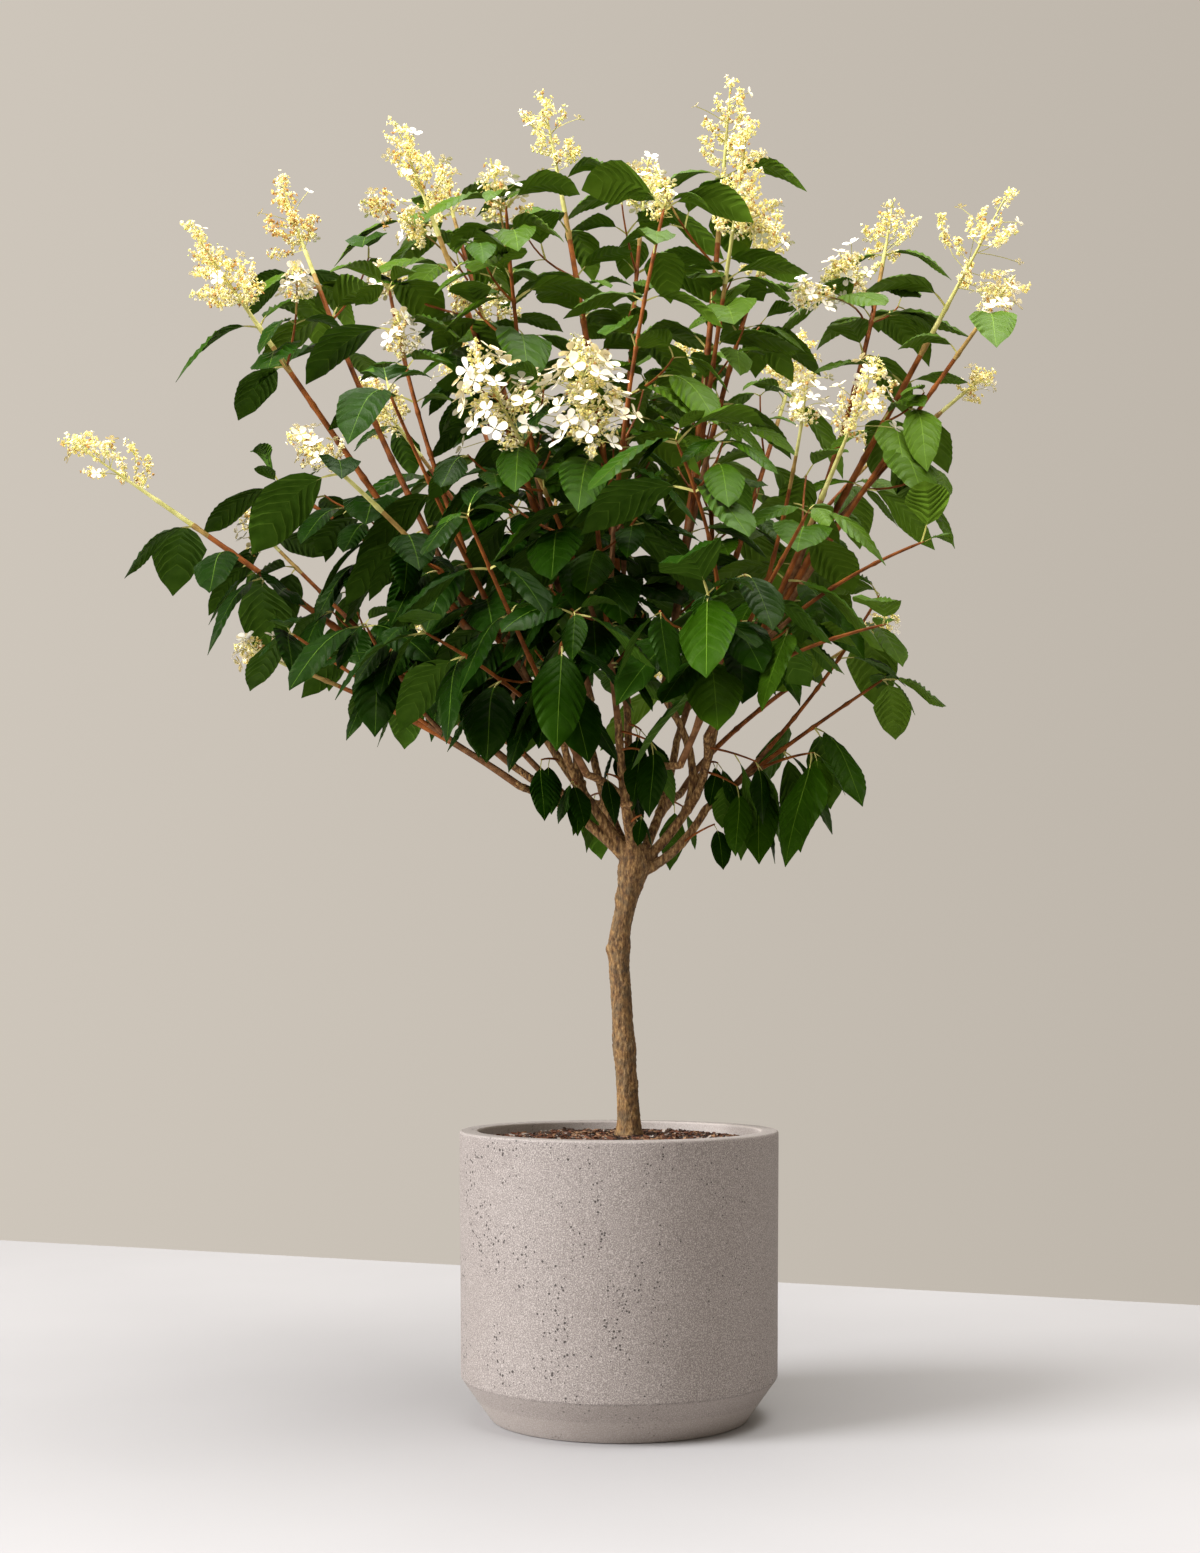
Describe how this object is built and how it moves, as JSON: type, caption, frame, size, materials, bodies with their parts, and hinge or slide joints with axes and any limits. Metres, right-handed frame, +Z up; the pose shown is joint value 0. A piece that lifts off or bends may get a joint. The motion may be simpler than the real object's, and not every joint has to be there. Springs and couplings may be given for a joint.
{
  "type": "panicle hydrangea in a pot",
  "caption": "Panicle hydrangea grown as a small tree: bare trunk, spreading boughs, leafy shoots tipped with cones of cream blossom, in a round grey cement pot.",
  "frame": {"origin": "centre of the pot's flat underside", "axes": "+Z up along the pot's axis, -Y towards the side of the plant that shows best, +X to the right when looking at that side"},
  "size_m": [1.2535, 0.9309, 1.6625],
  "materials": {
    "cement": "matt fibre cement with fine grain and small pits",
    "potting_mix": "loose bark chips and peat",
    "bark": "rough brown bark, smoother on the boughs",
    "foliage": "green leaves with a low sheen, cream blossom, red-brown shoots"
  },
  "bodies": {
    "root": {"pot": "cement", "potting_mix": "potting_mix", "trunk": "bark", "bough_far_left": "bark", "bough_left_top": "bark", "bough_crest_mid": "bark", "bough_right_top": "bark", "bough_right_low": "bark", "bough_front_high": "bark", "bough_back_left": "bark", "bough_back_right": "bark", "bough_left_low": "bark", "bough_left_mid": "bark", "bough_crest_left": "bark", "bough_crest_right": "bark", "bough_right_mid": "bark", "bough_front_left": "bark", "bough_front_right": "bark", "bough_back_left_low": "bark", "bough_back_right_low": "bark", "foliage_far_left": "foliage", "foliage_left_top": "foliage", "foliage_crest_mid": "foliage", "foliage_right_top": "foliage", "foliage_right_low": "foliage", "foliage_front_high": "foliage", "foliage_back_left": "foliage", "foliage_back_right": "foliage", "foliage_left_low": "foliage", "foliage_left_mid": "foliage", "foliage_crest_left": "foliage", "foliage_crest_right": "foliage", "foliage_right_mid": "foliage", "foliage_front_left": "foliage", "foliage_front_right": "foliage", "foliage_back_left_low": "foliage", "foliage_back_right_low": "foliage"}
  },
  "joints": []
}
